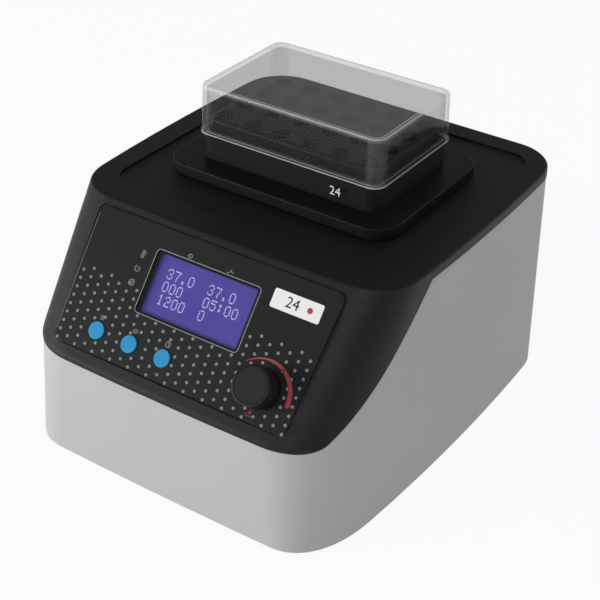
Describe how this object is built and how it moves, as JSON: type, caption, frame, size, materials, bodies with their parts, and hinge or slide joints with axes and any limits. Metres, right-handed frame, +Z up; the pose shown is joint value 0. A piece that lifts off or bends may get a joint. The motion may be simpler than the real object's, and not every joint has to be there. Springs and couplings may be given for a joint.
{
  "type": "thermal mixer",
  "caption": "Bench-top heated shaker: a tube block orbits on an eccentric drive under a lift-off clear lid, behind a sloped control panel with display, buttons and knob.",
  "frame": {"origin": "centre of the footprint on the bench", "axes": "+Z up, the sloped control panel faces -Y, +X to the right as seen from the front"},
  "size_m": [0.22, 0.2596, 0.191],
  "materials": {
    "grey_housing": "fine satin moulded",
    "black_housing": "fine textured",
    "base_steel": "satin paint",
    "foot_rubber": "matt",
    "screw_steel": "plain",
    "panel_film": "satin printed film",
    "window_glass": "clear",
    "display_screen": "lit screen",
    "badge_white": "blank",
    "board_green": "solder mask",
    "part_black": "moulded",
    "button_blue": "satin",
    "shaft_steel": "ground",
    "knob_black": "satin",
    "knob_cap_dark": "spun",
    "plate_aluminium": "milled",
    "motor_metal": "satin paint",
    "counterweight_iron": "machined",
    "insulation": "felted",
    "heater_silicone": "silicone",
    "block_black": "anodised",
    "skirt_black": "satin",
    "lid_clear": "clear moulded",
    "pin_brass": "plated",
    "fuse_glass": "clear",
    "rocker_black": "gloss",
    "board_components": "mixed"
  },
  "bodies": {
    "housing": {"badge_plate": "badge_white", "base_plate": "base_steel", "board_screws": "screw_steel", "board_standoffs": "pin_brass", "button_switches": "part_black", "control_board": "board_green", "control_panel": "panel_film", "display_module": "display_screen", "display_window": "window_glass", "encoder_body": "part_black", "fan_frame": "part_black", "fan_screws": "screw_steel", "foot_screws": "screw_steel", "housing_screws": "screw_steel", "idler_bearings": "shaft_steel", "inlet_pins": "pin_brass", "lower_housing": "grey_housing", "main_bearing": "shaft_steel", "mains_inlet": "part_black", "motor_body": "motor_metal", "motor_pillars": "plate_aluminium", "motor_plate": "plate_aluminium", "motor_screws": "screw_steel", "pillar_screws": "screw_steel", "power_board": "board_green", "power_board_parts": "board_components", "rubber_feet": "foot_rubber", "switch_frame": "part_black", "upper_housing": "black_housing"},
    "drive": {"eccentric_shaft": "shaft_steel", "counterweight": "counterweight_iron", "counterweight_screw": "screw_steel"},
    "platform": {"platform_plate": "plate_aluminium", "platform_bearing": "shaft_steel", "insulation_pad": "insulation", "heater_plate": "plate_aluminium", "heater_mat": "heater_silicone", "thermal_block": "block_black", "platform_skirt": "skirt_black", "block_screws": "screw_steel", "temperature_sensor": "shaft_steel"},
    "idler_1": {"idler_crank_1": "shaft_steel"},
    "idler_2": {"idler_crank_2": "shaft_steel"},
    "idler_3": {"idler_crank_3": "shaft_steel"},
    "idler_4": {"idler_crank_4": "shaft_steel"},
    "lid": {"clear_lid": "lid_clear"},
    "left_button": {"button_left": "button_blue"},
    "middle_button": {"button_middle": "button_blue"},
    "right_button": {"button_right": "button_blue"},
    "encoder_rotor": {"encoder_shaft": "shaft_steel"},
    "knob": {"control_knob": "knob_black", "knob_cap": "knob_cap_dark"},
    "fan": {"fan_rotor": "part_black"},
    "rocker": {"power_rocker": "rocker_black"},
    "drawer": {"fuse_drawer": "part_black", "fuse": "fuse_glass"}
  },
  "joints": [
    {"name": "drive_spin", "type": "hinge", "parent": "housing", "child": "drive", "pos_m": [0, 0.0265, 0.1], "axis": [0, 0, 1], "continuous": true},
    {"name": "platform_pivot", "type": "hinge", "parent": "drive", "child": "platform", "pos_m": [0, 0.028, 0.11], "axis": [0, 0, 1], "continuous": true},
    {"name": "idler_spin_1", "type": "hinge", "parent": "housing", "child": "idler_1", "pos_m": [-0.046, -0.0015, 0.1], "axis": [0, 0, 1], "continuous": true},
    {"name": "idler_spin_2", "type": "hinge", "parent": "housing", "child": "idler_2", "pos_m": [0.046, -0.0015, 0.1], "axis": [0, 0, 1], "continuous": true},
    {"name": "idler_spin_3", "type": "hinge", "parent": "housing", "child": "idler_3", "pos_m": [-0.046, 0.0545, 0.1], "axis": [0, 0, 1], "continuous": true},
    {"name": "idler_spin_4", "type": "hinge", "parent": "housing", "child": "idler_4", "pos_m": [0.046, 0.0545, 0.1], "axis": [0, 0, 1], "continuous": true},
    {"name": "lid_lift", "type": "slide", "parent": "platform", "child": "lid", "axis": [0, 0, 1], "range_m": [0, 0.06]},
    {"name": "left_button_press", "type": "slide", "parent": "housing", "child": "left_button", "axis": [0, 0.7802, -0.6255], "range_m": [0, 0.0008], "stiffness_N_per_m": 500},
    {"name": "middle_button_press", "type": "slide", "parent": "housing", "child": "middle_button", "axis": [0, 0.7802, -0.6255], "range_m": [0, 0.0008], "stiffness_N_per_m": 500},
    {"name": "right_button_press", "type": "slide", "parent": "housing", "child": "right_button", "axis": [0, 0.7802, -0.6255], "range_m": [0, 0.0008], "stiffness_N_per_m": 500},
    {"name": "encoder_turn", "type": "hinge", "parent": "housing", "child": "encoder_rotor", "pos_m": [0.0562, -0.11196, 0.08929], "axis": [0, -0.7802, 0.6255], "continuous": true},
    {"name": "knob_push", "type": "slide", "parent": "encoder_rotor", "child": "knob", "axis": [0, 0.7802, -0.6255], "range_m": [0, 0.0005], "stiffness_N_per_m": 800},
    {"name": "fan_spin", "type": "hinge", "parent": "housing", "child": "fan", "pos_m": [0.056, 0.115, 0.056], "axis": [0, 1, 0], "continuous": true},
    {"name": "rocker_tilt", "type": "hinge", "parent": "housing", "child": "rocker", "pos_m": [-0.02, 0.1242, 0.04], "axis": [1, 0, 0], "range_deg": [0, 20]},
    {"name": "drawer_slide", "type": "slide", "parent": "housing", "child": "drawer", "axis": [0, 1, 0], "range_m": [0, 0.018]}
  ],
  "couplings": [
    {"joint": "platform_pivot", "follows": "drive_spin", "ratio": -1},
    {"joint": "idler_spin_1", "follows": "drive_spin", "ratio": 1},
    {"joint": "idler_spin_2", "follows": "drive_spin", "ratio": 1},
    {"joint": "idler_spin_3", "follows": "drive_spin", "ratio": 1},
    {"joint": "idler_spin_4", "follows": "drive_spin", "ratio": 1}
  ]
}
